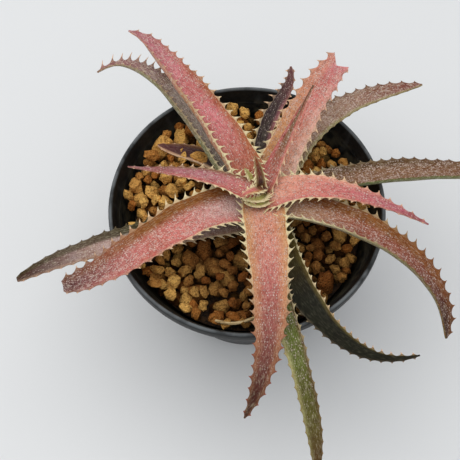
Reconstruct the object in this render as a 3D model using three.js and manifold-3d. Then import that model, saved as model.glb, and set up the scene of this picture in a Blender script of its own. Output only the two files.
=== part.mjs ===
// A spiny rosette bromeliad (an Orthophytum hybrid) in its round plastic pot, in millimetres, +Z up.
// The origin is the middle of the pot's flat bottom and -Y is the front.
import * as THREE from "three";
import { mergeVertices } from "three/addons/utils/BufferGeometryUtils.js";
import Module from "manifold-3d";

// Pot
const POT_HEIGHT = 72;
const RIM_RADIUS = 52.5;
const FOOT_RADIUS = 31;
const LIP_HEIGHT = 6;
const WALL = 1.5;
const FLOOR = 2.4;
const DRAIN_HOLES = 6;
const DRAIN_RADIUS = 3.2;
const DRAIN_CIRCLE = 20;
const POT_SIDES = 56;

// Granular substrate
const SOIL_LEVEL = 59.5;
const GRAIN_COUNT = 96;
const GRAIN_RADIUS = 5.1;
const CLEARANCE = 0.3;

// Crown and leaves
const STEM_X = 5.5;
const STEM_RADIUS = 3.4;
const STEM_DEPTH = 8;
const EDGE_THICKNESS = 0.64;
const MIDDLE_THICKNESS = 1.25;
const TOOTH_LENGTH = 2.8;
const TOOTH_BASE = 1.9;
const TOOTH_PITCH = 4.7;
const TOOTHLESS_BASE = 0.13;

// Each leaf's middle line passes four points: its root, one third, two thirds and its tip,
// as x, y and height over the pot's rim. "wide" is its width at the root and the width its
// taper runs to, "blunt" how late the tip closes, "end" the share of that width that a cut
// tip keeps (none where it isn't given), "cup" the channel's half angle in degrees,
// "roll" the turn about its own length at the root and the tip in degrees.
const LEAVES = [
  {
    name: "leaf_front",
    path: [[6, -4.2, 5.8], [8, -35, 13], [7, -60, 7], [-1, -80, -8]],
    wide: [19, 6], blunt: 5, cup: 22, roll: [0, -6], color: 0xb0605c,
  },
  {
    name: "leaf_front_lower",
    path: [[7, -4, -2], [12.5, -42, 6], [21, -74, -1], [24.5, -100, -16]],
    wide: [9, 7.5], blunt: 5, cup: 28, roll: [0, 0], color: 0x6b5a3c,
  },
  {
    name: "leaf_front_right_lower",
    path: [[8, -4, -7], [19, -34.5, 2], [36.5, -55, -1], [62, -58, -4]],
    wide: [16, 4.5], blunt: 3, cup: 24, roll: [0, -12], color: 0x3c3a24,
  },
  {
    name: "leaf_right_front",
    path: [[10, -1.4, 2], [39, -12.9, 9], [63.8, -28.2, 2], [74, -48, -15]],
    wide: [16.5, 12], blunt: 4, cup: 40, roll: [-8, -30], color: 0x96584a,
  },
  {
    name: "leaf_right",
    path: [[9.6, -0.4, 8.3], [28, 0, 14], [48, -4.5, 12], [67, -11, 6]],
    wide: [14, 2.4], blunt: 4, cup: 22, roll: [0, -6], color: 0xbf6a62,
  },
  {
    name: "leaf_right_lower",
    path: [[10, 1.8, -2.6], [37, 8.3, 3.6], [68, 12.4, 2], [101, 16, -8]],
    wide: [11.5, 15.5], blunt: 5, cup: 42, roll: [-8, -26], color: 0x7d5e48,
  },
  {
    name: "leaf_back_right_lower",
    path: [[8.7, 3.2, -7], [22.8, 27, 4.5], [43, 40.3, 8.8], [69, 50.2, 5]],
    wide: [14, 8], blunt: 6, cup: 30, roll: [0, -10], color: 0x8a6048,
  },
  {
    name: "leaf_back_right",
    path: [[7.5, 3.5, 3.8], [15.6, 19, 13.2], [25, 33, 24.6], [35.2, 43.4, 32.6]],
    wide: [17.6, 10.4], blunt: 8, end: 0.85, cup: 26, roll: [0, 0], color: 0xc07464,
  },
  {
    name: "leaf_back_lower",
    path: [[5.4, 4, -2.4], [7.2, 29.3, 5], [13.9, 42.3, 9], [17, 53.5, 13]],
    wide: [7, 6.5], blunt: 3, cup: 30, roll: [0, 0], color: 0x5a3a3c,
  },
  {
    name: "leaf_inner_back_right",
    path: [[7, 3.5, 10], [13.5, 14, 21], [19, 23, 29], [24, 30.5, 36]],
    wide: [8.6, 1], blunt: 1.6, cup: 42, roll: [0, 0], color: 0xa86a50,
  },
  {
    name: "leaf_back_left",
    path: [[3.5, 3.5, 7.6], [-11.9, 27, 16.5], [-26.7, 47, 19], [-44, 73, 12]],
    wide: [15.8, 8], blunt: 5, cup: 22, roll: [0, 0], color: 0xb5646a,
  },
  {
    name: "leaf_back_left_lower",
    path: [[2.4, 2.8, 1.5], [-15.2, 26.6, 6], [-34.8, 50, 9], [-58.6, 61.6, 1]],
    wide: [13.5, 8], blunt: 3, cup: 34, roll: [0, 14], color: 0x75605a,
  },
  {
    name: "leaf_left_dried",
    path: [[1.4, 2.6, -8.2], [-10, 19, -6.2], [-22, 24.5, -5], [-35, 27.5, -3]],
    wide: [8.5, 8], blunt: 4, cup: 24, roll: [0, 0], color: 0x4a3036,
  },
  {
    name: "leaf_left",
    path: [[1.9, -1, 12.2], [-13, 4.5, 14], [-28, 7.8, 12.5], [-45, 12.6, 7]],
    wide: [10, 1], blunt: 8, cup: 18, roll: [0, 0], color: 0xb0626a,
  },
  {
    name: "leaf_left_front",
    path: [[1, -2, 3], [-22, -11.5, 10.5], [-44, -25.3, 8.2], [-68, -31.2, -5.4]],
    wide: [18.5, 13], blunt: 5, end: 0.4, cup: 28, roll: [0, 8], color: 0xa25e56,
  },
  {
    name: "leaf_left_front_lower",
    path: [[1, -2, -5], [-27, -11, 1.2], [-56, -17.8, 0], [-86, -27.4, -8]],
    wide: [16, 9], blunt: 4, end: 0.2, cup: 26, roll: [0, 6], color: 0x6a5248,
  },
  {
    name: "leaf_heart_back",
    path: [[5, 1.8, 14.6], [4.4, 3.8, 19], [3.6, 5.4, 22.5], [2.8, 7, 26]],
    wide: [5, 2], blunt: 6, cup: 30, roll: [0, 0], color: 0x9a8a4c,
  },
  {
    name: "leaf_heart_left",
    path: [[4, -1, 14.8], [2.5, -2.5, 17], [0.5, -4, 18.6], [-2, -6, 18.8]],
    wide: [4.5, 2], blunt: 5, cup: 24, roll: [0, 0], color: 0x94904c,
  },
];

const ACROSS = [-1, -0.5, 0, 0.5, 1];

const wasm = await Module();
wasm.setup();

function clamp01(v) {
  return Math.min(Math.max(v, 0), 1);
}

function smooth(v) {
  const s = clamp01(v);
  return s * s * (3 - 2 * s);
}

// A seeded run of numbers from 0 to 1, so that every build is the same.
function seeded(seed) {
  let state = seed;
  return () => {
    state = (state * 16807) % 2147483647;
    return state / 2147483647;
  };
}

function solidFrom(geometry) {
  const g = geometry.clone();
  g.deleteAttribute("normal");
  g.deleteAttribute("uv");
  const merged = mergeVertices(g, 1e-4);
  return new wasm.Manifold(
    new wasm.Mesh({
      numProp: 3,
      vertProperties: merged.attributes.position.array,
      triVerts: new Uint32Array(merged.index.array),
    }),
  );
}

function geometryFrom(solid) {
  const mesh = solid.getMesh();
  const geometry = new THREE.BufferGeometry();
  geometry.setAttribute("position", new THREE.BufferAttribute(mesh.vertProperties, 3));
  geometry.setIndex(new THREE.BufferAttribute(mesh.triVerts, 1));
  return geometry;
}

function node(name, geometry, color, roughness) {
  geometry.computeVertexNormals();
  const material = new THREE.MeshStandardMaterial({ color, roughness, metalness: 0 });
  const mesh = new THREE.Mesh(geometry, material);
  mesh.name = name;
  return mesh;
}

function lathe(profile, sides) {
  const points = profile.map(([r, z]) => new THREE.Vector2(r, z));
  return new THREE.LatheGeometry(points, sides).rotateX(Math.PI / 2);
}

// Pot: tapered wall, a thicker lip band at the top and a flat floor with a ring of drain holes.
function potRadius(z) {
  return FOOT_RADIUS + ((RIM_RADIUS - 1.6 - FOOT_RADIUS) * z) / POT_HEIGHT;
}

function potGeometry() {
  const lipFoot = POT_HEIGHT - LIP_HEIGHT;
  const profile = [
    [0, 0],
    [FOOT_RADIUS - 1, 0],
    [potRadius(1), 1],
    [potRadius(lipFoot - 0.6), lipFoot - 0.6],
    [RIM_RADIUS - 0.4, lipFoot],
    [RIM_RADIUS, POT_HEIGHT - 0.6],
    [RIM_RADIUS - 0.5, POT_HEIGHT],
    [RIM_RADIUS - 1.3, POT_HEIGHT],
    [RIM_RADIUS - 1.7, POT_HEIGHT - 0.6],
    [potRadius(lipFoot) - WALL, lipFoot - 1.2],
    [potRadius(FLOOR) - WALL, FLOOR],
    [0, FLOOR],
  ];
  let solid = solidFrom(lathe(profile, POT_SIDES));
  for (let i = 0; i < DRAIN_HOLES; i += 1) {
    const turn = ((i + 0.5) * 2 * Math.PI) / DRAIN_HOLES;
    const hole = new THREE.CylinderGeometry(DRAIN_RADIUS, DRAIN_RADIUS, 3 * FLOOR, 12)
      .rotateX(Math.PI / 2)
      .translate(DRAIN_CIRCLE * Math.cos(turn), DRAIN_CIRCLE * Math.sin(turn), 0);
    solid = solid.subtract(solidFrom(hole));
  }
  return geometryFrom(solid);
}

// A round strand along a curve, closed at both ends.
function closedTube(curve, steps, radius, sides) {
  const round = new THREE.Shape();
  for (let i = 0; i < sides; i += 1) {
    const turn = (i * 2 * Math.PI) / sides;
    const [x, y] = [radius * Math.cos(turn), radius * Math.sin(turn)];
    if (i === 0) round.moveTo(x, y);
    else round.lineTo(x, y);
  }
  round.closePath();
  return new THREE.ExtrudeGeometry(round, { steps, extrudePath: curve, bevelEnabled: false });
}

// Substrate: one body of packed granules, lumpy on top and smooth where the pot hides it,
// with a dry straw lying on it at the front and a plain hole that the stem stands in.
function substrateGeometry() {
  const inside = (z) => potRadius(z) - WALL - CLEARANCE - 0.2;
  const profile = [
    [0, FLOOR + CLEARANCE],
    [inside(FLOOR) - 0.4, FLOOR + CLEARANCE],
    [inside(SOIL_LEVEL), SOIL_LEVEL],
    [0, SOIL_LEVEL],
  ];
  const random = seeded(41);
  const pieces = [solidFrom(lathe(profile, POT_SIDES))];
  const edge = inside(SOIL_LEVEL);
  for (let i = 0; i < GRAIN_COUNT; i += 1) {
    const size = GRAIN_RADIUS * (0.78 + 0.34 * random());
    const spread = edge * Math.sqrt((i + 0.5) / GRAIN_COUNT) - 1.4 * random();
    const radius = Math.min(spread, edge - size);
    const turn = i * 2.39996;
    const x = radius * Math.cos(turn);
    const y = radius * Math.sin(turn);
    const turns = [random() * 3, random() * 3, random() * 3];
    if (Math.hypot(x - STEM_X, y) < size + STEM_RADIUS + 1) continue;
    const grain = new THREE.IcosahedronGeometry(size, 0)
      .rotateX(turns[0])
      .rotateY(turns[1])
      .scale(1, 0.86, 0.82)
      .rotateZ(turns[2])
      .translate(x, y, SOIL_LEVEL - 0.3 + 1.4 * random());
    pieces.push(solidFrom(grain));
  }
  const straw = new THREE.CatmullRomCurve3([
    new THREE.Vector3(-12, -41.5, SOIL_LEVEL + 3.6),
    new THREE.Vector3(-8, -42.8, SOIL_LEVEL + 4.2),
    new THREE.Vector3(-3, -43, SOIL_LEVEL + 3.8),
    new THREE.Vector3(1, -42, SOIL_LEVEL + 4.2),
    new THREE.Vector3(4, -40, SOIL_LEVEL + 3.4),
  ]);
  pieces.push(solidFrom(closedTube(straw, 8, 0.7, 5)));
  const hole = new THREE.CylinderGeometry(
    STEM_RADIUS + 1.2 + CLEARANCE,
    STEM_RADIUS + 1.2 + CLEARANCE,
    2 * (STEM_DEPTH + CLEARANCE),
    20,
  )
    .rotateX(Math.PI / 2)
    .translate(STEM_X, 0, SOIL_LEVEL);
  return geometryFrom(wasm.Manifold.union(pieces).subtract(solidFrom(hole)));
}

// Crown: the short stem that carries the leaves, standing in the substrate.
function crownGeometry() {
  const foot = SOIL_LEVEL - STEM_DEPTH;
  const profile = [
    [0, foot],
    [STEM_RADIUS + 1.2, foot],
    [STEM_RADIUS + 1.2, SOIL_LEVEL],
    [STEM_RADIUS + 0.6, SOIL_LEVEL + 3],
    [STEM_RADIUS, SOIL_LEVEL + 8],
    [STEM_RADIUS, POT_HEIGHT + 8],
    [STEM_RADIUS - 0.8, POT_HEIGHT + 12],
    [STEM_RADIUS - 2, POT_HEIGHT + 14],
    [0, POT_HEIGHT + 14.4],
  ];
  return lathe(profile, 20).translate(STEM_X, 0, 0);
}

// The cubic through the leaf's four points, with each weight's slope for the direction.
function weights(u) {
  return [
    -4.5 * (u - 1 / 3) * (u - 2 / 3) * (u - 1),
    13.5 * u * (u - 2 / 3) * (u - 1),
    -13.5 * u * (u - 1 / 3) * (u - 1),
    4.5 * u * (u - 1 / 3) * (u - 2 / 3),
  ];
}

function pointAt(leaf, u) {
  const point = new THREE.Vector3(0, 0, POT_HEIGHT);
  weights(u).forEach((w, i) => point.addScaledVector(new THREE.Vector3(...leaf.path[i]), w));
  return point;
}

function pathLength(leaf) {
  let total = 0;
  for (let i = 0; i < 40; i += 1) {
    total += pointAt(leaf, i / 40).distanceTo(pointAt(leaf, (i + 1) / 40));
  }
  return total;
}

// One cross-section: five points over the channel and five under it, and both edges' ways out.
function sectionAt(leaf, u) {
  const centre = pointAt(leaf, u);
  const along = pointAt(leaf, u + 0.001).sub(pointAt(leaf, u - 0.001)).normalize();
  const level = new THREE.Vector3(0, 0, 1).cross(along).normalize();
  const rise = along.clone().cross(level);
  const roll = THREE.MathUtils.degToRad(leaf.roll[0] * (1 - u) + leaf.roll[1] * u);
  const side = level.clone().multiplyScalar(Math.cos(roll)).addScaledVector(rise, Math.sin(roll));
  const up = along.clone().cross(side);
  const cup = THREE.MathUtils.degToRad(leaf.cup * (0.35 + 0.65 * smooth(u / 0.25)));
  const taper = leaf.wide[0] * (1 - u) + leaf.wide[1] * u;
  const neck = 0.62 + 0.38 * smooth(u / 0.14);
  const end = leaf.end ?? 0;
  const close = end + (1 - end) * Math.pow(clamp01(1 - Math.pow(u, leaf.blunt)), 0.6);
  const half = Math.max(0.5 * taper * neck * close, 0.36);
  const thick = MIDDLE_THICKNESS - 0.45 * u;
  const upper = [];
  const lower = [];
  for (const s of ACROSS) {
    const turn = cup * s;
    const middle = centre
      .clone()
      .addScaledVector(side, (half * Math.sin(turn)) / cup)
      .addScaledVector(up, (half * (1 - Math.cos(turn))) / cup);
    const normal = up.clone().multiplyScalar(Math.cos(turn)).addScaledVector(side, -Math.sin(turn));
    const depth = 0.5 * (EDGE_THICKNESS + (thick - EDGE_THICKNESS) * (1 - s * s));
    upper.push(middle.clone().addScaledVector(normal, depth));
    lower.unshift(middle.clone().addScaledVector(normal, -depth));
  }
  const outward = [-1, 1].map((s) =>
    side.clone().multiplyScalar(s * Math.cos(cup)).addScaledVector(up, Math.sin(cup)),
  );
  return { ring: [...upper, ...lower], outward, along };
}

// Leaf: a channelled blade whose two edges carry hooked spines, all one closed body.
// The spines lean back to the root low on the leaf and stand forward near its tip.
function leafGeometry(leaf) {
  const length = pathLength(leaf);
  const start = length > 30 ? TOOTHLESS_BASE : 0.25;
  const count = Math.max(Math.round(((1 - start) * length) / TOOTH_PITCH), 3);
  const gap = (1 - start) / count;
  const halfBase = Math.min((0.5 * TOOTH_BASE) / length, 0.3 * gap);
  const stations = length > 30 ? [0, 0.5 * start] : [0];
  for (let i = 0; i < count; i += 1) {
    const centre = start + gap * (i + 0.42);
    stations.push(centre - halfBase, centre + halfBase);
  }
  stations.push(1);
  const first = length > 30 ? 2 : 1;
  const sections = stations.map((u) => sectionAt(leaf, u));
  const positions = [];
  const faces = [];
  const add = (v) => positions.push(v.x, v.y, v.z) / 3 - 1;
  sections.forEach((section) => section.ring.forEach(add));
  const at = (station, j) => station * 10 + (j % 10);
  for (let i = 0; i + 1 < sections.length; i += 1) {
    const toothed = i >= first && (i - first) % 2 === 0 && i + 2 < sections.length;
    for (let j = 0; j < 10; j += 1) {
      const [a, b, c, d] = [at(i, j), at(i + 1, j), at(i + 1, j + 1), at(i, j + 1)];
      if (toothed && (j === 4 || j === 9)) {
        const u = 0.5 * (stations[i] + stations[i + 1]);
        const root = new THREE.Vector3();
        for (const k of [a, b, c, d]) {
          root.add(new THREE.Vector3().fromArray(positions, 3 * k).multiplyScalar(0.25));
        }
        const lean = THREE.MathUtils.degToRad(-34 + 50 * u);
        const reach = TOOTH_LENGTH * (1 - 0.35 * u) * (length > 30 ? 1 : 0.45);
        const way = sections[i].outward[j === 4 ? 1 : 0];
        const apex = add(
          root
            .addScaledVector(way, reach * Math.cos(lean))
            .addScaledVector(sections[i].along, reach * Math.sin(lean)),
        );
        faces.push(a, b, apex, b, c, apex, c, d, apex, d, a, apex);
      } else if (j > 4 && j < 9) {
        faces.push(a, b, d, b, c, d);
      } else {
        faces.push(a, b, c, a, c, d);
      }
    }
  }
  const last = sections.length - 1;
  for (let j = 0; j < 4; j += 1) {
    faces.push(at(0, j), at(0, j + 1), at(0, 8 - j), at(0, j), at(0, 8 - j), at(0, 9 - j));
    faces.push(at(last, j), at(last, 8 - j), at(last, j + 1));
    faces.push(at(last, j), at(last, 9 - j), at(last, 8 - j));
  }
  const geometry = new THREE.BufferGeometry();
  geometry.setAttribute("position", new THREE.Float32BufferAttribute(positions, 3));
  geometry.setIndex(faces);
  return geometry;
}

const plant = new THREE.Group();
plant.add(node("pot", potGeometry(), 0x1c1c1e, 0.7));
plant.add(node("substrate", substrateGeometry(), 0x9c6a38, 0.95));
plant.add(node("crown", crownGeometry(), 0x8c7a4a, 0.8));
for (const leaf of LEAVES) {
  plant.add(node(leaf.name, leafGeometry(leaf), leaf.color, 0.75));
}

export default plant;
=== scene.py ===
import math
import random

import bpy
import numpy as np
from mathutils import Euler, Matrix, Vector


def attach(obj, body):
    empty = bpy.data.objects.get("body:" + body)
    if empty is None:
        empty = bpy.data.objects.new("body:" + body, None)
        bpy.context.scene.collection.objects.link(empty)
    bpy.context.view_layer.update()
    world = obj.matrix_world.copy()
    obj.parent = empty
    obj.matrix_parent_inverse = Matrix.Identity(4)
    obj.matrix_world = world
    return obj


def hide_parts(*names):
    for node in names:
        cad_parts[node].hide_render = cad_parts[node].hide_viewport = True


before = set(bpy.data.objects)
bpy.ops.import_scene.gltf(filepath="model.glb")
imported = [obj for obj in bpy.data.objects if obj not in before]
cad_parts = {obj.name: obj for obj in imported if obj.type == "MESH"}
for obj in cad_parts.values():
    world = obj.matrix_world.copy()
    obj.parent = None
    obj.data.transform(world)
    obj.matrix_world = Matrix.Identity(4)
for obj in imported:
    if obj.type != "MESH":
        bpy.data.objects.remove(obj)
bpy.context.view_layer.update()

# ---- The table, the light and the camera ---------------------------------------------------------
# A pale, matt table under one large soft lamp and a pale room, seen from above the front edge
# as by a person who looks down at the plant.
MM = 0.001
TABLE_COLOUR = (0.73, 0.735, 0.735, 1)
LAMP_PLACE = (-0.15, 0.05, 0.92)
LAMP_AIM = Vector((0, 0, 0.07))
LAMP_WIDTH = 1.15
LAMP_POWER = 5.7
LAMP_COLOUR = (1.0, 0.985, 0.96)
ROOM_COLOUR = (0.93, 0.96, 1.0, 1)
ROOM_LIGHT = 0.68
EYE_PLACE = (0, -0.1841, 0.4495)
EYE_TILT = math.radians(26)
EYE_SENSOR = 36
EYE_LENS = 86.95
EYE_SHIFT = (-0.037, -0.0552)

bpy.ops.object.select_all(action="DESELECT")
bpy.ops.mesh.primitive_plane_add(size=6, location=(0, 0, 0))
table = bpy.context.active_object
table.name = "table"
table.data.materials.append(bpy.data.materials.new("table paint"))
table.data.materials[0].use_nodes = True
paint = table.data.materials[0].node_tree.nodes["Principled BSDF"]
paint.inputs["Base Color"].default_value = TABLE_COLOUR
paint.inputs["Roughness"].default_value = 0.7

bpy.ops.object.light_add(type="AREA", location=LAMP_PLACE)
lamp = bpy.context.active_object
lamp.name = "softbox"
lamp.data.size = LAMP_WIDTH
lamp.data.energy = LAMP_POWER
lamp.data.color = LAMP_COLOUR
lamp.rotation_euler = (LAMP_AIM - lamp.location).to_track_quat("-Z", "Y").to_euler()

room = bpy.data.worlds.new("room")
bpy.context.scene.world = room
room.use_nodes = True
room.node_tree.nodes["Background"].inputs["Color"].default_value = ROOM_COLOUR
room.node_tree.nodes["Background"].inputs["Strength"].default_value = ROOM_LIGHT
bpy.context.scene.view_settings.view_transform = "Standard"

bpy.ops.object.camera_add(location=EYE_PLACE, rotation=(EYE_TILT, 0, 0))
camera = bpy.context.active_object
camera.data.sensor_width = EYE_SENSOR
camera.data.lens = EYE_LENS
camera.data.shift_x, camera.data.shift_y = EYE_SHIFT
camera.data.clip_start = 0.01
bpy.context.scene.camera = camera

# ---- The pot -------------------------------------------------------------------------------------
# One thin, tapered nursery pot, injection moulded in matt black plastic: a smooth wall, a rolled
# lip over a small groove, and a flat bottom with a ring of drain holes.
POT_SIDES = 128
POT_STEPS = [  # radius and height of each ring, from the bottom's edge over the lip to the floor
    (29.2, 0), (30.0, 0), (30.85, 0.35), (31.25, 1.0), (40.1, 33), (48.85, 64.6), (48.6, 65.2),
    (48.75, 65.7), (50.0, 65.95), (51.6, 66.1), (52.2, 66.6), (52.4, 67.6), (52.5, 71.0),
    (52.35, 71.65), (51.95, 72.0), (51.4, 72.0), (51.05, 71.7), (50.8, 71.0), (49.9, 68.6),
    (49.0, 66.2), (48.2, 64.0), (39.0, 34), (30.9, 3.2), (30.1, 2.4),
]
DRAIN_HOLES = 6
DRAIN_RADIUS = 3.2 * MM
DRAIN_CIRCLE = 20 * MM   # the radius of the ring that the holes stand in
OUTSIDE_FOOT = 0.03097   # the outside wall's radius at the bottom, in metres
OUTSIDE_SLOPE = 0.2767   # and how fast it grows with the height


class Wire:
    """A value in a material, so that shader maths reads as sums."""

    def __init__(self, tree, socket=None):
        self.tree, self.socket = tree, socket

    def node(self, kind, settings=None, inputs=None, out=0):
        """One output of a new node, with its settings set first and then its inputs."""
        made = self.tree.nodes.new(kind)
        for name, value in (settings or {}).items():
            setattr(made, name, value)
        for name, value in (inputs or {}).items():
            if isinstance(value, Wire):
                self.tree.links.new(value.socket, made.inputs[name])
            else:
                made.inputs[name].default_value = value
        return Wire(self.tree, made.outputs[out])

    def math(self, operation, *values):
        return self.node("ShaderNodeMath", {"operation": operation}, dict(enumerate(values)))

    def __add__(self, other):
        return self.math("ADD", self, other)

    __radd__ = __add__

    def __sub__(self, other):
        return self.math("SUBTRACT", self, other)

    def __rsub__(self, other):
        return self.math("SUBTRACT", other, self)

    def __mul__(self, other):
        return self.math("MULTIPLY", self, other)

    __rmul__ = __mul__

    def __abs__(self):
        return self.math("ABSOLUTE", self)

    def rise(self, low, high):
        """0 at low and 1 at high, smoothly between them."""
        return self.node("ShaderNodeMapRange", {"interpolation_type": "SMOOTHSTEP"},
                         {0: self, 1: low, 2: high})

    def blend(self, first, second, how="MIX"):
        """The colour that runs from first to second as this value goes from 0 to 1."""
        return self.node("ShaderNodeMix", {"data_type": "RGBA", "blend_type": how},
                         {0: self, 6: first, 7: second}, out=2)

    def place(self):
        return self.node("ShaderNodeTexCoord", out="Object")

    def scaled(self, factors):
        return self.node("ShaderNodeVectorMath", {"operation": "MULTIPLY"}, {0: self, 1: factors})

    def noise(self, scale, detail):
        return self.node("ShaderNodeTexNoise", None,
                         {"Vector": self, "Scale": scale, "Detail": detail}, out="Fac")

    def cells(self, factors, out):
        """Scattered cells: how far the nearest one's middle is, or its own chance colour."""
        return self.node("ShaderNodeTexVoronoi", None,
                         {"Vector": self.scaled(factors), "Scale": 1.0, "Randomness": 1.0}, out=out)

    def carried(self, name, out):
        """What the mesh carries at each point under this name."""
        return self.node("ShaderNodeAttribute", {"attribute_name": name}, out=out)

    def part(self, axis):
        return self.node("ShaderNodeSeparateXYZ", None, {0: self}, out=axis)


def srgb(red, green, blue):
    """A paint's colour as the eye names it, 0 to 255, in the linear light that Blender works in."""
    return tuple(((c / 255 + 0.055) / 1.055) ** 2.4 if c > 10 else c / 3295
                 for c in (red, green, blue)) + (1.0,)


def new_material(name):
    """A new material, and a wire to build its nodes from."""
    made = bpy.data.materials.new(name)
    made.use_nodes = True
    return made, Wire(made.node_tree)


def finish_material(colour, rough, height, depth, **fixed):
    """Leads the colour, the roughness, a bump of this depth and fixed values to the shader."""
    tree = colour.tree
    shader = tree.nodes["Principled BSDF"]
    tree.links.new(colour.socket, shader.inputs["Base Color"])
    if isinstance(rough, Wire):
        tree.links.new(rough.socket, shader.inputs["Roughness"])
    else:
        shader.inputs["Roughness"].default_value = rough
    for socket, value in fixed.items():
        shader.inputs[socket.replace("_", " ")].default_value = value
    bump = colour.node("ShaderNodeBump", None, {"Height": height, "Distance": depth})
    tree.links.new(bump.socket, shader.inputs["Normal"])


def turn_shape(name, sides, steps):
    """A turned shape: a round face at the first step, extruded on through the other rings."""
    (radius, height), *rings = [(wide * MM, high * MM) for wide, high in steps]
    bpy.ops.object.select_all(action="DESELECT")
    bpy.ops.mesh.primitive_circle_add(vertices=sides, radius=radius, fill_type="NGON",
                                      location=(0, 0, height))
    made = bpy.context.active_object
    made.name = name
    bpy.ops.object.mode_set(mode="EDIT")
    for wide, high in rings:
        bpy.ops.mesh.extrude_region_move(TRANSFORM_OT_translate={"value": (0, 0, high - height)})
        ratio = wide / radius
        bpy.ops.transform.resize(value=(ratio, ratio, 1), center_override=(0, 0, high))
        radius, height = wide, high
    bpy.ops.mesh.select_all(action="SELECT")
    bpy.ops.mesh.normals_make_consistent(inside=False)
    bpy.ops.object.mode_set(mode="OBJECT")
    bpy.ops.object.transform_apply(location=True)
    return made


pot = turn_shape("moulded_pot", POT_SIDES, POT_STEPS)

# The drain holes are bored through the bottom with one ring of drills.
drills = []
for hole in range(DRAIN_HOLES):
    turn = (hole + 0.5) * math.tau / DRAIN_HOLES
    bpy.ops.object.select_all(action="DESELECT")
    bpy.ops.mesh.primitive_cylinder_add(
        vertices=24, radius=DRAIN_RADIUS, depth=12 * MM,
        location=(DRAIN_CIRCLE * math.cos(turn), DRAIN_CIRCLE * math.sin(turn), 0))
    drills.append(bpy.context.active_object)
for drill in drills:
    drill.select_set(True)
bpy.ops.object.join()
joined_drills = bpy.context.active_object
bpy.context.view_layer.objects.active = pot
cut = pot.modifiers.new("drain holes", "BOOLEAN")
cut.object = joined_drills
bpy.ops.object.modifier_apply(modifier=cut.name)
bpy.data.objects.remove(joined_drills)
bpy.ops.object.select_all(action="DESELECT")
pot.select_set(True)
bpy.ops.object.shade_smooth_by_angle(angle=math.radians(40))

# The plastic is scuffed down its wall, has a painted grey highlight along the top of the lip and is
# dusty inside.
plastic, black = new_material("matt black plastic")
spot = black.place()
height = spot.part("Z")
grain = spot.noise(900, 3)
scuffs = spot.scaled((1, 1, 0.25)).noise(170, 4).rise(0.56, 0.74)
radius = spot.node("ShaderNodeVectorMath", {"operation": "LENGTH"},
                   {0: spot.scaled((1, 1, 0))}, out="Value")
inside = (height * OUTSIDE_SLOPE + OUTSIDE_FOOT - radius).rise(0.00008, 0.0003)
dust = height.rise(0.071, 0.058) * inside * spot.noise(260, 4).rise(0.34, 0.62)
# painted highlight: a light grey line along the lip's top face, broken up by noise
lip_highlight = height.rise(0.0712, 0.0720) * spot.noise(120, 3).rise(0.25, 0.6)
colour = grain.rise(0.35, 0.7).blend(srgb(17, 18, 18), srgb(26, 27, 27))
colour = (scuffs * 0.35).blend(colour, srgb(70, 72, 72))
colour = (lip_highlight * 0.6).blend(colour, srgb(120, 124, 126))
colour = (dust * 0.5).blend(colour, srgb(96, 88, 66))
finish_material(colour, 0.42 + dust * 0.4 + scuffs * 0.12, grain, 0.00008,
                Specular_IOR_Level=0.16)
pot.data.materials.append(plastic)
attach(pot, "root")
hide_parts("pot")

# ---- The substrate -------------------------------------------------------------------------------
# Baked clay granules, rough and irregular, 4 to 10 mm across, poured in loose round the roots to
# 3 mm under the rim at the left and 6 mm at the right. A bit of dry straw lies on them at the
# front. The granules out of sight are one packed bed with the loose ones on it.
BED_SIDES = 96
BED_STEPS = [(28, 2.75), (28.9, 2.75), (29.4, 3.4), (38.0, 34), (43.4, 52), (44.0, 53.9),
             (39, 54.6), (15.5, 54.3), (12, 50.4)]
LOOSE_FOOT = 53.9 * MM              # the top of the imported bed
LOOSE_SIDES = (-0.03, 0.035)        # places at the left and at the right, in metres
LOOSE_TOP = (69.0 * MM, 66.0 * MM)  # the highest granules there
LOOSE_BACK = 0.048                  # the place at the back
LOOSE_RISE = 2.5 * MM               # how much higher they lie there than in the middle
LOOSE_LIMIT = 0.0705                # and no granule is placed higher than this
LOOSE_REACH = 0.0495                # the farthest place tried from the pot's middle
LOOSE_ROOM = [(49.4, 42.9), (64.0, 47.2), (65.5, 48.3), (68.0, 50.0)]   # height, wall's inside
STEM_PLACE = Vector((5.5 * MM, 0, 0))
STEM_ROOM = 5.0 * MM                # the radius that the granules leave free round it
GRANULE_SHAPES = 8
GRANULE_SWELL = 1.08     # drawn a little larger than its room, so that the stones touch
GRANULES_TRIED = 1900
PLACES_TRIED = 7
SMALLEST_GRANULE = 1.7   # its radius, in mm
GRANULE_SPREAD = 2.4     # how much more the largest one has
LARGE_ARE_FEW = 1.8      # the higher, the fewer large ones
BED_REST = 0.4           # how high a stone's middle rests over the bed, by its radius
WALL_ROOM = 1.05         # and how far from the wall it stays
STRAW = [(-12, -43.4, 64.4), (-8, -45.2, 65.4), (-3, -45, 64.2), (1, -43.6, 65.6), (4, -42, 64.4)]
STRAW_RADIUS = 0.62 * MM

bed = turn_shape("granule_bed", BED_SIDES, BED_STEPS)

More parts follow.
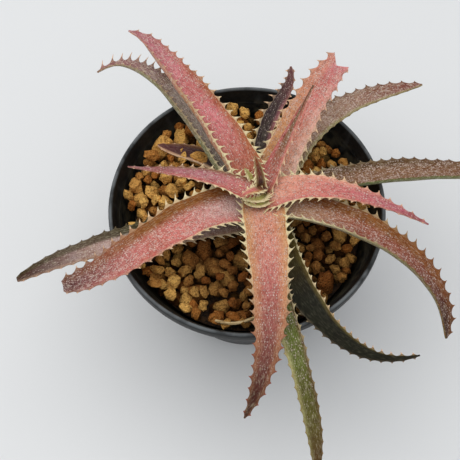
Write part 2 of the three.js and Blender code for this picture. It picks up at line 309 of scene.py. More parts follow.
# A few stones, each a ball knocked out of round and struck flat on three sides.
granule_meshes = []
for shape in range(GRANULE_SHAPES):
    chip = random.Random(shape + 20)
    bpy.ops.object.select_all(action="DESELECT")
    bpy.ops.mesh.primitive_ico_sphere_add(subdivisions=2, radius=1)
    granule = bpy.context.active_object
    bpy.ops.object.mode_set(mode="EDIT")
    bpy.ops.transform.vertex_random(offset=0.27, uniform=0.15, normal=0.9, seed=shape + 3)
    for flat in range(3):
        way = Vector((chip.uniform(-1, 1), chip.uniform(-1, 1), chip.uniform(-1, 1))).normalized()
        bpy.ops.mesh.select_all(action="SELECT")
        bpy.ops.mesh.bisect(plane_co=way * chip.uniform(0.68, 0.86), plane_no=way, use_fill=True,
                            clear_outer=True)
    bpy.ops.mesh.select_all(action="SELECT")
    bpy.ops.transform.resize(value=(1.3, 1.0 - 0.03 * shape, 0.84 + 0.02 * shape),
                             center_override=(0, 0, 0))
    bpy.ops.mesh.quads_convert_to_tris()
    bpy.ops.mesh.remove_doubles(threshold=0.06)
    bpy.ops.mesh.normals_make_consistent(inside=False)
    bpy.ops.object.mode_set(mode="OBJECT")
    bpy.ops.object.shade_smooth_by_angle(angle=math.radians(48))
    granule_meshes.append(granule.data)
    bpy.data.objects.remove(granule)

# They are poured one at a time, each to the lowest of the places tried, where it comes to rest on
# the bed or on those already there.
pour = random.Random(12)
poured = np.zeros((0, 4))
copies = []
for count in range(GRANULES_TRIED):
    size = (SMALLEST_GRANULE + GRANULE_SPREAD * pour.random() ** LARGE_ARE_FEW) * MM
    best = None
    for attempt in range(PLACES_TRIED):
        turn, reach = pour.uniform(0, math.tau), math.sqrt(pour.random()) * LOOSE_REACH
        x, y = reach * math.cos(turn), reach * math.sin(turn)
        if math.hypot(x - STEM_PLACE.x, y) < STEM_ROOM + size:
            continue
        gap = (poured[:, 3] + size) ** 2 - (poured[:, 0] - x) ** 2 - (poured[:, 1] - y) ** 2
        held = gap > 0
        z = max([LOOSE_FOOT + size * BED_REST, *(poured[held, 2] + np.sqrt(gap[held]))])
        if reach + size * WALL_ROOM > np.interp(z / MM, *zip(*LOOSE_ROOM)) * MM:
            continue
        if best is None or z < best[2]:
            best = (x, y, z)
    if best is None:
        continue
    top = np.interp(best[0], LOOSE_SIDES, LOOSE_TOP) + LOOSE_RISE * (best[1] / LOOSE_BACK)
    if best[2] + size > min(top, LOOSE_LIMIT):
        continue
    poured = np.vstack([poured, [*best, size]])
    mesh = granule_meshes[pour.randrange(GRANULE_SHAPES)].copy()
    turned = Euler([pour.uniform(0, math.tau) for _ in range(3)]).to_matrix().to_4x4()
    mesh.transform(Matrix.Translation(best) @ turned @ Matrix.Scale(size * GRANULE_SWELL, 4))
    shade = mesh.attributes.new("shade", "FLOAT", "POINT")
    shade.data.foreach_set("value", [pour.random()] * len(mesh.vertices))
    copy = bpy.data.objects.new(f"granule_{count}", mesh)
    bpy.context.collection.objects.link(copy)
    copies.append(copy)
bpy.ops.object.select_all(action="DESELECT")
for copy in copies:
    copy.select_set(True)
bpy.context.view_layer.objects.active = copies[0]
bpy.ops.object.join()
granules = bpy.context.active_object
granules.name = "clay_granules"

# Each stone has its own shade of ochre, with pores and stains. Painted shade darkens them in front
# of the stem, where the leaves overhang, and darkest deep between the others.
clay, ochre = new_material("baked clay")
spot = ochre.place()
shade = ochre.carried("shade", "Fac")
pores = spot.noise(1500, 3)
stains = spot.noise(330, 4)
middle = spot.node("ShaderNodeVectorMath", {"operation": "DISTANCE"},
                   {0: spot.scaled((1, 1, 0)), 1: (0.005, -0.018, 0)}, out="Value")
# painted shade of the leaves over the stones in front of the stem
leaf_shade_painted = (middle + spot.noise(60, 2) * 0.016).rise(0.048, 0.031)
# painted shade deep between the stones, below the top of the pour
deep_shade_painted = (spot.part("Z") + spot.part("X") * 0.02 - spot.part("Y") * 0.05).rise(0.0655, 0.0595)
colour = shade.rise(0.0, 1.0).blend(srgb(176, 108, 46), srgb(255, 200, 110))
colour = (stains.rise(0.5, 0.7) * 0.6).blend(colour, srgb(146, 92, 40))
colour = (pores.rise(0.52, 0.66) * 0.55).blend(colour, srgb(92, 52, 22))
colour = (pores.rise(0.44, 0.28) * 0.4).blend(colour, srgb(240, 198, 126))
colour = (leaf_shade_painted * 0.66).blend(colour, srgb(90, 46, 20))
colour = (deep_shade_painted * 0.8).blend(colour, srgb(40, 22, 10))
finish_material(colour, 0.95, pores * 0.9 + stains, 0.0016, Specular_IOR_Level=0.1)
granules.data.materials.append(clay)

# What shows of the bed between the loose stones is crumbs, painted dark brown as the shadow deep
# between them.
crumbs_in_shade, brown = new_material("dark crumbs in painted shade")
spot = brown.place()
crumb = spot.noise(700, 4)
colour = crumb.rise(0.35, 0.7).blend(srgb(30, 20, 12), srgb(82, 56, 32))
finish_material(colour, 0.95, crumb, 0.0012)
bed.data.materials.append(crumbs_in_shade)

# The straw is one slightly bent stalk, closed at both ends.
bpy.ops.object.select_all(action="DESELECT")
stalk = bpy.data.curves.new("straw", "CURVE")
stalk.dimensions = "3D"
stalk.bevel_depth = STRAW_RADIUS
stalk.bevel_resolution = 3
stalk.use_fill_caps = True
line = stalk.splines.new("NURBS")
line.points.add(len(STRAW) - 1)
for point, place in zip(line.points, STRAW):
    point.co = (*(Vector(place) * MM), 1)
line.use_endpoint_u = True
line.order_u = 4
line.resolution_u = 8
straw = bpy.data.objects.new("dry_straw", stalk)
bpy.context.collection.objects.link(straw)
straw.select_set(True)
bpy.context.view_layer.objects.active = straw
bpy.ops.object.convert(target="MESH")
straw = bpy.context.active_object
bpy.ops.object.shade_smooth()
dry, tan = new_material("dry straw")
spot = tan.place()
streak = spot.scaled((0.3, 2, 2)).noise(900, 3)
colour = streak.rise(0.35, 0.68).blend(srgb(150, 122, 78), srgb(214, 190, 142))
finish_material(colour, 0.75, streak, 0.0003)
straw.data.materials.append(dry)

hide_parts("substrate")
for piece in (bed, granules, straw):
    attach(piece, "root")

# ---- The stem ------------------------------------------------------------------------------------
# A short woody stem, rooted in the granules and thinner towards its top. The leaves clasp it one
# over another, and the scars of older leaves ring it.
STEM_SIDES = 32
STEM_STEPS = [(4.2, 51.6), (4.7, 51.9), (4.7, 57), (4.5, 59.5), (4.8, 60.2), (4.1, 62), (4.3, 62.6),
              (3.7, 66), (3.9, 66.5), (3.4, 71), (3.2, 77), (2.4, 80), (1.4, 82), (0.5, 82.6)]

stem = turn_shape("short_stem", STEM_SIDES, STEM_STEPS)
stem.location = STEM_PLACE
bpy.ops.object.transform_apply(location=True)
bpy.ops.object.shade_smooth_by_angle(angle=math.radians(50))

bark, green = new_material("stem skin")
spot = green.place()
fibres = spot.scaled((1, 1, 0.15)).noise(1400, 4)
colour = fibres.rise(0.35, 0.68).blend(srgb(70, 58, 26), srgb(128, 120, 56))
# Its top, in the heart of the rosette, is painted near black as painted shade among the leaves.
colour = spot.part("Z").rise(0.074, 0.081).blend(colour, srgb(32, 24, 12))
finish_material(colour, 0.7, fibres, 0.0004)
stem.data.materials.append(bark)
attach(stem, "root")
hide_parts("crown")

# ---- The lower leaves ----------------------------------------------------------------------------
# The oldest leaves: stiff, fleshy, channelled blades that grow from the stem's foot and arch over
# the rim, brown, olive and dark. Both margins carry hooked spines with scalloped gaps, and white
# scales lie in broken lines along the blade.
PAINTS = {
    "rose": srgb(188, 96, 92), "pink": srgb(203, 113, 106), "salmon": srgb(214, 138, 106),
    "orchid": srgb(168, 84, 102), "mauve": srgb(148, 92, 96), "plum": srgb(98, 56, 58),
    "wine": srgb(120, 58, 46), "cocoa": srgb(66, 34, 24), "brown": srgb(124, 84, 54),
    "sienna": srgb(142, 72, 54), "taupe": srgb(134, 106, 88), "umber": srgb(88, 62, 32),
    "olive": srgb(106, 94, 46), "moss": srgb(90, 102, 34), "lime": srgb(190, 186, 104),
    "sage": srgb(170, 168, 112), "pine": srgb(24, 24, 10), "night": srgb(52, 38, 40),
    "tan": srgb(204, 150, 98), "rust": srgb(168, 94, 54), "shell": srgb(226, 186, 150),
    "cream": srgb(232, 218, 172), "peach": srgb(228, 160, 136), "khaki": srgb(150, 124, 80),
    "ash": srgb(164, 132, 112), "lilac": srgb(172, 106, 114), "ember": srgb(132, 78, 26),
    "slate": srgb(62, 66, 50), "blush": srgb(204, 116, 122), "fog": srgb(208, 182, 178),
    # Of the next paints, the near-white peach is a pale peach painted paler still, as painted
    # light.
    "thorn": srgb(60, 54, 20), "straw": srgb(206, 196, 150), "peach_painted_lit": srgb(250, 204, 184),
    "sand": srgb(202, 165, 129), "silver": srgb(160, 148, 140),
}
ACROSS = 10                       # faces across the blade
SPINE_WIDTHS = (1.0, 0.4, 0.18, 0.04)         # from a spine's foot to its point
SPINE_REACHES = (0.0, 0.3, 0.66, 1.0)
SPINE_THICKNESSES = (0.62, 0.5, 0.34, 0.12)   # in mm
SPINE_CHANCE = (0.78, 0.44)       # the least share of its length, and how much chance adds to it
SPINE_TAPER = (1.14, 0.56)        # the share at the root, and how much of it is gone at the tip
SPINE_LEAN = (-16, 22)            # degrees to the tip at the root, and how much is added on the way
SPINE_ASTRAY = 12                 # degrees, half of them each way
SPINE_HOOK = 0.28                 # how far its point is drawn back to the root, by its length
SPINE_LIFT = 0.12                 # and how far it is lifted
SPINE_BASE = (-0.27, 0.27, 0.5)   # a spine's two edges and the middle of its gap, in spine pitches
CROWDING = 1.35          # how much closer the spines stand near the root
SCALLOP = 0.6 * MM       # how deep the margin dips between two spines
EDGE_START = 0.5         # how far across the half blade a rolled edge starts
EDGE_THICKNESS = 0.62    # in mm, at the margin
MIDDLE_THICKNESS = 1.3   # and along the middle
TIP_THINNING = 0.45      # and how much the middle loses towards the tip
THICKEST = 2.0 * MM      # the wall that the weights of the thickness are shares of
ROOT_CUP = 46            # degrees that each half of the blade is turned up at the root
CUT_START = 0.86         # where a notch or a slant starts, by the leaf's length
CURL_START = 0.88        # and where the tip's curl starts
RIM = 72                 # the height, in mm, that the leaves' heights count from
SHEATH = 0.06            # the share of a leaf that turns down along the stem
SHEATH_BEND = 3.0 * MM   # the radius of that turn
SHEATH_TURN = 75         # and its degrees
paper_leaves = {}


def smooth(v):
    """0 below 0 and 1 above 1, smoothly between them."""
    s = np.clip(v, 0, 1)
    return s * s * (3 - 2 * s)


def between(first, second, share):
    """The first where the share is 0, the second where it is 1, and a mix between."""
    return first * (1 - share) + second * share


def paper_leaf(spines):
    """A flat leaf with spines along both sides, cut for a leaf with so many spines a side."""
    if spines in paper_leaves:
        return paper_leaves[spines]
    columns = 3 * spines + 2
    bpy.ops.object.select_all(action="DESELECT")
    bpy.ops.mesh.primitive_grid_add(x_subdivisions=columns, y_subdivisions=ACROSS, size=2)
    sheet = bpy.context.active_object
    for part in (*sheet.data.polygons, *sheet.data.vertices):
        part.select = False
    for edge in sheet.data.edges:
        first, last = (sheet.data.vertices[i] for i in edge.vertices)
        column = math.floor(((first.co.x + last.co.x) / 2 + 1) / 2 * columns)
        edge.select = abs(first.co.y + last.co.y) > 1.999 and column % 3 == 2
        if edge.select:
            first.select = last.select = True
    bpy.ops.object.mode_set(mode="EDIT")
    bpy.ops.mesh.select_mode(type="EDGE")
    for reach in (1, 2, 3):
        bpy.ops.mesh.extrude_edges_move(TRANSFORM_OT_translate={"value": (0, 0, 0)})
        bpy.ops.transform.resize(value=(1, (reach + 1) / reach, 1), center_override=(0, 0, 0))
    bpy.ops.mesh.select_mode(type="VERT")
    bpy.ops.object.mode_set(mode="OBJECT")
    paper_leaves[spines] = sheet.data
    bpy.data.objects.remove(sheet)
    return paper_leaves[spines]


class Path:
    """A leaf's middle line: a short sheath down the stem, then a curve through four points at
    the root, one third, two thirds and the tip."""

    def __init__(self, points, roll):
        self.points = (np.array(points, float) + (0, 0, RIM)) * MM
        self.roll = np.radians(roll)

    def curve(self, v):
        """The places at these shares of the curve."""
        v = np.asarray(v, float)[:, None]
        return (-4.5 * (v - 1 / 3) * (v - 2 / 3) * (v - 1) * self.points[0]
                + 13.5 * v * (v - 2 / 3) * (v - 1) * self.points[1]
                - 13.5 * v * (v - 1 / 3) * (v - 1) * self.points[2]
                + 4.5 * v * (v - 1 / 3) * (v - 2 / 3) * self.points[3])

    def length(self):
        return np.linalg.norm(np.diff(self.curve(np.linspace(0, 1, 60)), axis=0), axis=1).sum()

    def at(self, u):
        """The place, and the directions along the leaf, to its side and up out of its channel."""
        v = np.clip((u - SHEATH) / (1 - SHEATH), 0, 1)
        along = self.curve(v + 0.001) - self.curve(v - 0.001)
        along /= np.linalg.norm(along, axis=1)[:, None]
        side = np.cross([0, 0, 1.0], along)
        side /= np.linalg.norm(side, axis=1)[:, None]
        up = np.cross(along, side)
        down = (np.radians(SHEATH_TURN) * np.clip(1 - u / SHEATH, 0, 1))[:, None]
        spot = (self.curve(v) - along * SHEATH_BEND * np.sin(down)
                - up * SHEATH_BEND * (1 - np.cos(down)))
        along, up = (along * np.cos(down) + up * np.sin(down),
                     up * np.cos(down) - along * np.sin(down))
        turn = (self.roll[0] + (self.roll[1] - self.roll[0]) * v)[:, None]
        return (spot, along, side * np.cos(turn) + up * np.sin(turn),
                up * np.cos(turn) - side * np.sin(turn))


def section(cross, full, roll_in):
    """The place across a channelled blade of half width 1, and how far it is turned up there."""
    across, rise, steps = 0, 0, 20
    for step in range(steps + 1):
        c = cross * step / steps
        bend = full * c + np.sign(c) * roll_in * smooth((np.abs(c) - EDGE_START) / (1 - EDGE_START))
        if step < steps:
            across, rise = across + np.cos(bend), rise + np.sin(bend) * np.sign(cross)
    return across * cross / steps, rise * np.abs(cross) / steps, bend


def leaf_paint(u, cross, left, paints, bands, mute, fade, ripe, horns, scales):
    """The points' colours, along the blade and across it, and the colours of their margins.

    The alpha of the first holds the share of scales, and that of the second how strongly the
    margin shows.
    """
    root, middle, tip, at_left, at_right = (np.array(PAINTS[paint]) for paint in paints)
    late = smooth((u - ripe) / (1 - ripe))[:, None]
    colours = between(root, middle, smooth(u / 0.45)[:, None])
    colours = between(colours, tip, late)
    band = np.array(bands)[1 - left]
    off = smooth((np.abs(cross) - band[:, 0] + band[:, 1]) / (2 * band[:, 1]))[:, None]
    off = off * (1 - 0.9 * late * np.minimum(band[:, 1] / 0.35, 1)[:, None])
    colours = between(colours, np.where((cross > 0)[:, None], at_left, at_right), off)
    brown_root = smooth((0.1 - u) / 0.06)[:, None] * 0.5
    colours = between(colours, np.array(PAINTS["ember"]), brown_root)
    colours[:, 3] = between(*scales, u) * (1 - np.where(left, *mute) * off[:, 0])

    worn = smooth((u - 0.15) / 0.6)[:, None]
    plain = np.where(left, *fade)[:, None]
    horn = between(np.array(PAINTS[horns[0]]), np.array(PAINTS[horns[1]]), worn)
    horn = between(horn, colours, plain)
    horn[:, 3] = (0.75 - 0.55 * worn[:, 0]) * (1 - 0.7 * plain[:, 0])
    return colours, horn


def thicken(leaf, thickness):
    """Gives a bent paper leaf its flesh, from each point's thickness in mm, and rounds it off."""
    group = leaf.vertex_groups.new(name="thickness")
    for point, weight in enumerate(thickness * MM / THICKEST):
        group.add([point], float(weight), "REPLACE")
    bpy.ops.object.select_all(action="DESELECT")
    leaf.select_set(True)
    bpy.context.view_layer.objects.active = leaf
    wall = leaf.modifiers.new("flesh", "SOLIDIFY")
    wall.thickness = THICKEST
    wall.offset = 0
    wall.vertex_group = group.name
    wall.material_offset = 1
    wall.material_offset_rim = 0
    bpy.ops.object.modifier_apply(modifier=wall.name)
    round_off = leaf.modifiers.new("soft edges", "SUBSURF")
    round_off.levels = round_off.render_levels = 1
    bpy.ops.object.modifier_apply(modifier=round_off.name)
    bpy.ops.object.shade_smooth()


def grow(node, path, wide, blunt, cup, paints, seed, roll=(0, 0), end=0, notch=0, slant=0,
         curl=(0, 0, 0), edges=(0, 0), spine=2.5, spacing=3.4, teeth=((1, 1), (1, 1)),
         bands=((0.6, 0.35), (0.6, 0.35)), mute=(0.35, 0.35), fade=(0, 0),
         horns=("cream", "shell"), ripe=0.5, scales=(0.5, 0.5), fibre=0.25):
    """Bends a paper leaf to its place in the rosette, thickens it and paints it.

    node names the plain model's leaf that it stands for; a young leaf has none there. A pair is a
    value at the root and at the tip, or in edges, mute and fade one for the left margin and one
    for the right. Lengths are in mm and angles in degrees.
    The blade: path has four points of its middle line, with their heights over the pot's rim.
    wide is its width, blunt how late it closes to a tip, cup how far each half is turned up, roll
    how far it is turned about its line, and edges how far a margin rolls in. end is the share of
    the width left open at the tip, notch and slant cut that tip, and curl moves it.
    The spines: spine is their length, spacing their distance, and teeth the shares of that length
    on the left and on the right.
    The paint: paints names the colours of root, middle, tip, left side and right side. bands says
    for each side where across the half blade its colour comes in, and how softly. mute is the
    share of scales that it hides, and fade how far its margin goes back to the blade's colour.
    horns names the margin's colours, ripe is where the tip's colour starts, scales the share of
    white scales, and fibre the strength of the pale streaks.
    """
    line = Path(path, roll)
    length = line.length()
    spines = max(4, round(length / (spacing * MM)))
    columns = 3 * spines + 2
    leaf = bpy.data.objects.new(node.replace("leaf_", "") + "_leaf", paper_leaf(spines).copy())
    bpy.context.collection.objects.link(leaf)
    flat = np.zeros(len(leaf.data.vertices) * 3)
    leaf.data.vertices.foreach_get("co", flat)
    flat = flat.reshape(-1, 3)

    # Each point of the paper leaf: its column, how far out it lies, its spine, and its share u of
    # the leaf's length.
    border = np.round((flat[:, 0] + 1) / 2 * columns).astype(int)
    cross, beyond = np.clip(flat[:, 1], -1, 1), np.clip(np.abs(flat[:, 1]) - 1, 0, 3)
    tooth = (border - 2) // 3
    pitch = (tooth + 0.5 + np.array(SPINE_BASE)[(border - 2) % 3]) / spines
    pitch = np.select([border == 0, border == 1, border == columns - 1, border >= columns],
                      [0.0, 0.12 / spines, 1 - 0.12 / spines, 1.0], pitch)
    station = pitch ** CROWDING
    middle = (np.clip(tooth + 0.5, 0, spines) / spines) ** CROWDING
    on_spine = beyond > 0.01
    u = np.where(on_spine, middle, station)

    # Each spine's length and how far it leans to the tip.
    vary = np.random.RandomState(seed)
    number = np.clip(tooth, 0, spines + 1)
    left = (cross > 0).astype(int)
    share = np.where(left, between(*teeth[0], u), between(*teeth[1], u))
    chance = (SPINE_CHANCE[0] + SPINE_CHANCE[1] * vary.rand(2, spines + 2))[left, number]
    reach = (chance * spine * MM * share * (SPINE_TAPER[0] - SPINE_TAPER[1] * u)
             * smooth(u / SHEATH))
    astray = np.radians(SPINE_ASTRAY) * (vary.rand(2, spines + 2) - 0.5)[left, number]
    lean = np.radians(SPINE_LEAN[0] + SPINE_LEAN[1] * u) + astray

    # The blade: a slightly uneven width, scalloped between the spines, bent up into a channel.
    spot, along, side, up = line.at(u)
    wave = 1 + 0.03 * np.sin(u * 23 + seed) + 0.02 * np.sin(u * 41 + 2 * seed)
    half = 0.5 * between(*wide, u) * (0.86 + 0.14 * smooth(u / 0.1)) * wave
    close = end + (1 - end) * np.clip(1 - u ** blunt, 0, 1) ** 0.6
    half = np.maximum(half * close, 0.25) * MM
    dip = (border % 3 == 1) & (np.abs(cross) > 0.99) & (beyond < 0.01)
    half = half - dip * np.minimum(SCALLOP * share, half * 0.25)
    full = np.radians(ROOT_CUP + (cup - ROOT_CUP) * smooth(u / 0.16))
    roll_in = np.radians(np.where(left, *edges)) * smooth(u / 0.2) * (1 - smooth((u - 0.75) / 0.25))
    half = half * (1 + 0.16 * np.maximum(roll_in, 0))
    across, rise, bend = section(cross, full, roll_in)
    spot = (spot + side * (half * across)[:, None] + up * (half * rise)[:, None]
            - along * ((notch * (1 - np.abs(cross)) + slant * cross) * MM
                       * smooth((u - CUT_START) / (1 - CUT_START)))[:, None]
            + np.array(curl) * MM
            * (np.clip((u - CURL_START) / (1 - CURL_START), 0, 1) ** 2)[:, None])

    # The spines: out from the margin, narrower to the point and hooked back to the root.
    out = side * (np.sign(cross) * np.cos(bend))[:, None] + up * np.sin(np.abs(bend))[:, None]
    width = np.interp(beyond, range(4), SPINE_WIDTHS)
    rise = np.interp(beyond, range(4), SPINE_REACHES)
    point = out * np.cos(lean)[:, None] + along * np.sin(lean)[:, None]
    spined = (spot + along * ((station - middle) * length * width)[:, None]
              + point * (reach * rise)[:, None]
              - along * (reach * SPINE_HOOK * rise ** 2)[:, None]
              + up * (reach * SPINE_LIFT * rise)[:, None])
    spot = np.where(on_spine[:, None], spined, spot)
    leaf.data.vertices.foreach_set("co", spot.ravel())

    tones, horn = leaf_paint(u, cross, left, paints, bands, mute, fade, ripe, horns, scales)
    for name, values in (("tone", tones), ("horn", horn)):
        layer = leaf.data.color_attributes.new(name, "FLOAT_COLOR", "POINT")
        layer.data.foreach_set("color", values.ravel())
    strands = leaf.data.attributes.new("fibre", "FLOAT", "POINT")
    strands.data.foreach_set("value", [fibre] * len(leaf.data.vertices))

    # Two maps of the blade: the shares of its length and width, and its lengths by 100 mm.
    corners = np.zeros(len(leaf.data.loops), int)
    leaf.data.loops.foreach_get("vertex_index", corners)
    paper = np.stack([u, 0.5 + (cross + np.sign(cross) * beyond) / 8], 1)
    lengths = np.stack([station * length, flat[:, 1] * half], 1) / (100 * MM)
    for name, places in (("paper", paper), ("lengths", lengths)):
        leaf.data.uv_layers.new(name=name).data.foreach_set("uv", places[corners].ravel())

    leaf.data.materials.append(skin)
    leaf.data.materials.append(underskin)
    middle_thickness = MIDDLE_THICKNESS - TIP_THINNING * u
    thickness = EDGE_THICKNESS + (middle_thickness - EDGE_THICKNESS) * (1 - cross ** 2)
    thicken(leaf, np.where(on_spine, np.interp(beyond, range(4), SPINE_THICKNESSES), thickness))
    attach(leaf, "root")
    if node.startswith("leaf_"):
        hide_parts(node)


def leaf_skin(name, under):
    """The skin of the blade or of its underside: its own paint, then grain, scales and margins."""
    made, start = new_material(name)
    paper = start.node("ShaderNodeUVMap", {"uv_map": "paper"})
    lengths = start.node("ShaderNodeUVMap", {"uv_map": "lengths"})
    spot = start.place()
    tone = start.carried("tone", "Color")
    amount = start.carried("tone", "Alpha")
    side = abs(paper.part("Y") - 0.5) * 8   # 0 mid-blade, 1 at the margin, 4 at a spine's point
    patches = spot.noise(90, 3)
    mottle = spot.noise(520, 4)
    if under:
        lines = lengths.scaled((6, 90, 1)).noise(9, 3)
        colour = patches.rise(0.4, 0.62).blend(srgb(120, 126, 84), srgb(146, 122, 104))
        colour = start.node("ShaderNodeMix", {"data_type": "RGBA"},
                            {0: 0.7, 6: colour, 7: tone}, out=2)
        colour = (lines.rise(0.5, 0.62) * 0.6).blend(colour, srgb(206, 206, 184))
        height = lines
    else:
        fibre = start.carried("fibre", "Fac")
        streaks = lengths.scaled((5, 46, 1)).noise(9, 4)
        dash = lengths.cells((112, 230, 1), "Distance")
        chance = lengths.cells((112, 230, 1), "Color").part("X")
        luck = lengths.cells((230, 330, 1), "Color").part("Y")
        # White scales: dashes in broken lines along the blade, and specks between them.
        some = amount.rise(0.0, 0.4)
        crowd = lengths.scaled((10, 22, 1)).noise(2, 3).rise(0.32, 0.62)
        dashes = (dash.rise(0.46, 0.22) * (chance + amount * 0.55 + crowd * 0.25).rise(0.72, 1.0)
                  * some)
        specks = luck.rise(0.55, 0.95) * some * crowd
        # The leaf's own paint, mottled and streaked, with the scales on it.
        colour = (mottle.rise(0.46, 0.7) * 0.5).blend(tone, srgb(196, 166, 150), "MULTIPLY")
        colour = (patches.rise(0.48, 0.66) * 0.5).blend(colour, srgb(216, 188, 156), "MULTIPLY")
        colour = (luck.rise(0.5, 0.1) * 0.5).blend(colour, srgb(196, 170, 158), "MULTIPLY")
        colour = (streaks.rise(0.5, 0.38) * fibre * 0.9).blend(colour, srgb(150, 140, 104),
                                                               "MULTIPLY")
        colour = (streaks.rise(0.52, 0.64) * fibre).blend(colour, srgb(208, 200, 168))
        colour = (specks * (amount * 0.5)).blend(colour, srgb(238, 212, 198))
        colour = (dashes * 0.6 * side.rise(1.0, 0.85)).blend(colour, srgb(248, 226, 214))
        height = dashes + mottle * 0.3
    # The margin, then the spines with their browner points.
    horn_mark = start.carried("horn", "Alpha")
    horn = start.carried("horn", "Color")
    colour = (side.rise(0.95, 1.0) * horn_mark).blend(colour, horn)
    colour = (side + horn_mark * 2.0).rise(2.45, 3.1).blend(colour, horn)
    colour = (side.rise(3.2, 4.0) * 0.3).blend(colour, srgb(186, 120, 84))
    finish_material(colour, 0.6, height, 0.0002, Specular_IOR_Level=0.14)
    return made


skin = leaf_skin("leaf skin", under=False)
underskin = leaf_skin("leaf underside", under=True)

grow("leaf_front_right_lower",
     path=[(8, -4, -7), (19, -34.5, 2), (36.5, -55, -1), (62, -58, -4)],
     wide=(16, 4.5), blunt=3, cup=24, roll=(0, -12), spine=2.2, spacing=3.0,
     teeth=((0.1, 0.9), (0.4, 1.1)),
     paints=("olive", "pine", "pine", "olive", "pine"), bands=((0.8, 0.15), (0.6, 0.35)),
     fade=(0, 0.7), scales=(0, 0), fibre=0.05, seed=10)
grow("leaf_left_dried",
     path=[(1.4, 2.6, -8.2), (-10, 19, -6.2), (-22, 24.5, -5), (-35, 27.5, -3)],
     wide=(8.5, 8), blunt=4, cup=24, edges=(90, 40), spine=1.4, teeth=((0.4, 0.2), (0.3, 0.2)),
     paints=("night", "night", "plum", "shell", "brown"), bands=((0.55, 0.12), (0.75, 0.15)),
     scales=(0, 0), fibre=0.12, seed=3)
grow("leaf_back_right_lower",
     path=[(8.7, 3.2, -7), (22.8, 27, 4.5), (43, 40.3, 8.8), (69, 50.2, 5)],
     wide=(14, 8), blunt=6, cup=30, roll=(0, -10), spine=1.9, teeth=((1, 0.6), (0.4, 0.3)),
     paints=("ash", "ash", "wine", "taupe", "sage"), bands=((0.6, 0.3), (0.8, 0.12)),
     horns=("cream", "brown"), scales=(1.0, 0.8), fibre=0.4, seed=14)
grow("leaf_left_front_lower",
     path=[(1, -2, -5), (-27, -11, 1.2), (-56, -17.8, 0), (-86, -27.4, -8)],
     wide=(16, 9), blunt=4, cup=26, roll=(0, 6), end=0.2, edges=(0, -50),
     teeth=((1, 0.5), (1, 0.1)),
     paints=("umber", "fog", "cocoa", "ash", "thorn"), bands=((0.75, 0.2), (0.3, 0.15)),
     mute=(0.3, 0.85), fade=(0.3, 0.9), ripe=0.48, scales=(0.9, 0.1), seed=6)
grow("leaf_front_lower",
     path=[(7, -4, -2), (12.5, -42, 6), (21, -74, -1), (24.5, -100, -16)],
     wide=(8.4, 7.1), blunt=5, cup=28, spine=2.0, teeth=((0.7, 0.2), (0.7, 0.2)),
     paints=("sage", "moss", "umber", "umber", "sage"), bands=((0.75, 0.25), (0.7, 0.3)),
     horns=("cream", "khaki"), scales=(0.6, 0.0), seed=9)
grow("leaf_back_lower",
     path=[(5.4, 4, -2.4), (7.2, 29.3, 5), (13.9, 42.3, 9), (17, 53.5, 13)],
     wide=(7, 6.5), blunt=3, cup=30, spine=2.6, teeth=((1.2, 1), (0.6, 0.6)),
     paints=("slate", "night", "plum", "night", "mauve"), scales=(0.15, 0.25), fibre=0.12, seed=16)
grow("leaf_right_lower",
     path=[(10, 1.8, -2.6), (37, 8.3, 3.6), (68, 12.4, 2), (101, 16, -8)],
     wide=(11.5, 15.5), blunt=5, cup=42, roll=(-8, -26), edges=(0, 50), spine=1.5,
     teeth=((0.8, 0.5), (0.5, 0.1)),
     paints=("khaki", "brown", "brown", "umber", "moss"), bands=((0.5, 0.3), (0.72, 0.12)),
     fade=(0.4, 0.8), horns=("cream", "brown"), scales=(0.8, 0.8), seed=13)
grow("leaf_back_left_lower",
     path=[(2.4, 2.8, 1.5), (-15.2, 26.6, 6), (-34.8, 50, 9), (-58.6, 61.6, 1)],
     wide=(13.5, 8), blunt=3, cup=34, roll=(0, 14), curl=(-1.5, -2.5, -1), edges=(150, 0),
     spine=2.0, spacing=2.6, teeth=((0.6, 0.6), (0.8, 2.6)),
     paints=("slate", "silver", "mauve", "olive", "plum"), bands=((0.7, 0.15), (0.6, 0.35)),
     scales=(0.5, 0.4), fibre=0.6, seed=2)

# ---- The upper leaves ----------------------------------------------------------------------------
# Younger leaves of the same kind, which grow higher on the stem, over the lower ones. They are
# rosier and more thickly scaled. Two have lost their tips, one in a notch and one in a slant.
grow("leaf_right_front",
     path=[(10, -1.4, 2), (39, -12.9, 9), (63.8, -28.2, 2), (74, -48, -15)],
     wide=(16.5, 12), blunt=4, cup=40, roll=(-8, -30), edges=(0, 50), teeth=((1, 0.8), (0.8, 0.5)),
     paints=("sand", "sienna", "cocoa", "ember", "olive"), bands=((0.35, 0.25), (0.78, 0.12)),
     mute=(0.75, 0.9), horns=("cream", "ember"), scales=(1.0, 0.35), seed=11)
grow("leaf_left_front",
     path=[(1, -2, 3), (-22, -11.5, 10.5), (-44, -25.3, 8.2), (-68, -31.2, -5.4)],
     wide=(18.5, 13), blunt=5, cup=28, roll=(0, 8), end=0.4, slant=1.5, teeth=((1, 0.8), (1, 1.1)),
     paints=("fog", "pink", "plum", "pink", "ember"), bands=((0.6, 0.35), (0.34, 0.27)),
     mute=(0.3, 0.95), scales=(1.0, 0.9), seed=5)
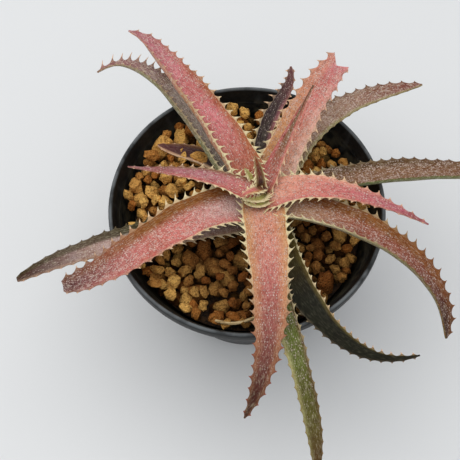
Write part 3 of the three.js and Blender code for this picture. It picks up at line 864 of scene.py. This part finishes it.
# Its root and right half are pale peach, painted near white as painted light where they are lit
# most.
grow("leaf_back_right",
     path=[(7.5, 3.5, 3.8), (15.6, 19, 13.2), (25, 33, 24.6), (35.2, 43.4, 32.6)],
     wide=(17.6, 10.4), blunt=8, cup=26, end=0.85, notch=3,
     paints=("peach_painted_lit", "salmon", "blush", "tan", "peach_painted_lit"), bands=((0.3, 0.25), (0.5, 0.35)),
     mute=(0.35, 0.1), ripe=0.1, scales=(1.0, 0.8), seed=15)
grow("leaf_back_left",
     path=[(3.5, 3.5, 7.6), (-11.9, 27, 16.5), (-26.7, 47, 19), (-44, 73, 12)],
     wide=(15.8, 8), blunt=5, cup=22, curl=(-3, -1.5, -1), edges=(150, 0),
     teeth=((1, 0.4), (1, 0.6)),
     paints=("rust", "blush", "lilac", "rust", "rust"), scales=(0.2, 0.7), seed=1)
grow("leaf_front",
     path=[(6, -3.8, 6), (8, -35, 13), (7, -60, 7), (-1, -80, -8)],
     wide=(19, 6), blunt=5, cup=22, roll=(0, -6), teeth=((1, 0.6), (1, 0.6)),
     paints=("peach", "pink", "cocoa", "tan", "tan"), horns=("cream", "sienna"), ripe=0.08,
     scales=(0.7, 0.0), seed=8)
grow("leaf_right",
     path=[(8.8, -0.4, 8.5), (28, 0, 14), (48, -4.5, 12), (67, -11, 6)],
     wide=(14, 2.4), blunt=4, cup=22, roll=(0, -6), teeth=((1.1, 0.4), (1, 0.5)),
     paints=("peach", "pink", "orchid", "peach", "pink"), ripe=0.25, scales=(0.6, 0.3), seed=12)
grow("leaf_left",
     path=[(1.9, -1, 12.2), (-13, 4.5, 14), (-28, 7.8, 12.5), (-45, 12.6, 7)],
     wide=(10, 1), blunt=8, cup=18, teeth=((0.4, 0.2), (1.2, 0.2)),
     paints=("pink", "lilac", "mauve", "rose", "brown"), scales=(0.4, 0.2), seed=4)
grow("leaf_inner_back_right",
     path=[(7, 3.5, 10), (13.5, 14, 21), (19, 23, 29), (24, 30.5, 36)],
     wide=(8.6, 1), blunt=1.6, cup=42, teeth=((0, 0), (1, 0)),
     paints=("pink", "brown", "umber", "rose", "pink"), fade=(0.9, 0.3), scales=(0.5, 0.3), seed=17)

# ---- The heart leaves ----------------------------------------------------------------------------
# The youngest leaves, still small, upright and folded round one another in the middle of the
# rosette, lime green to dark red, with soft cream spines that stand close together.
grow("leaf_heart_back",
     path=[(5, 1.8, 14.6), (4.4, 3.8, 19), (3.6, 5.4, 22.5), (2.8, 7, 26)],
     wide=(4.6, 1.6), blunt=5, cup=34, spine=1.4, spacing=2.2,
     paints=("night", "wine", "rust", "khaki", "khaki"), horns=("cream", "cream"), scales=(0, 0),
     seed=18)
grow("leaf_heart_left",
     path=[(4, -1, 14.8), (2.5, -2.5, 17), (0.5, -4, 18.6), (-2, -6, 18.8)],
     wide=(4.5, 2), blunt=5, cup=24, spine=1.2, spacing=1.8,
     paints=("olive", "pink", "rose", "tan", "cream"), horns=("cream", "cream"), scales=(0.1, 0.1),
     seed=19)
grow("young_low",
     path=[(8.5, -1.5, 7.5), (5.6, -4.6, 9.5), (2.2, -5.8, 11.5), (-1, -5.2, 13)],
     wide=(3.2, 1.4), blunt=5, cup=54, spine=2.0, spacing=1.6,
     paints=("olive", "lime", "straw", "cream", "lime"), horns=("cream", "cream"), scales=(0, 0),
     seed=23)
grow("young_front",
     path=[(6.8, -0.6, 9.5), (4.8, -3.8, 12), (1.8, -5.2, 14.5), (-1.6, -5.4, 15.5)],
     wide=(3.6, 1.4), blunt=5, cup=44, spine=1.9, spacing=1.5,
     paints=("thorn", "lime", "straw", "cream", "lime"), horns=("cream", "cream"), scales=(0, 0),
     seed=20)
grow("young_left",
     path=[(3, 2.5, 9), (1.8, 3.6, 12.5), (0.5, 5, 15), (-0.8, 6.5, 17)],
     wide=(4, 1.6), blunt=5, cup=50, spine=1.0, spacing=1.8,
     paints=("moss", "lime", "sage", "cream", "lime"), horns=("cream", "cream"), scales=(0, 0),
     seed=21)
grow("young_bud",
     path=[(4.2, 1.6, 8), (4.2, 2.4, 11), (4.3, 3.2, 14), (4.4, 4, 16.5)],
     wide=(3, 1), blunt=5, cup=66, spine=0.6, spacing=2.0,
     paints=("night", "olive", "sage", "sage", "sage"), horns=("cream", "cream"), scales=(0, 0),
     seed=22)
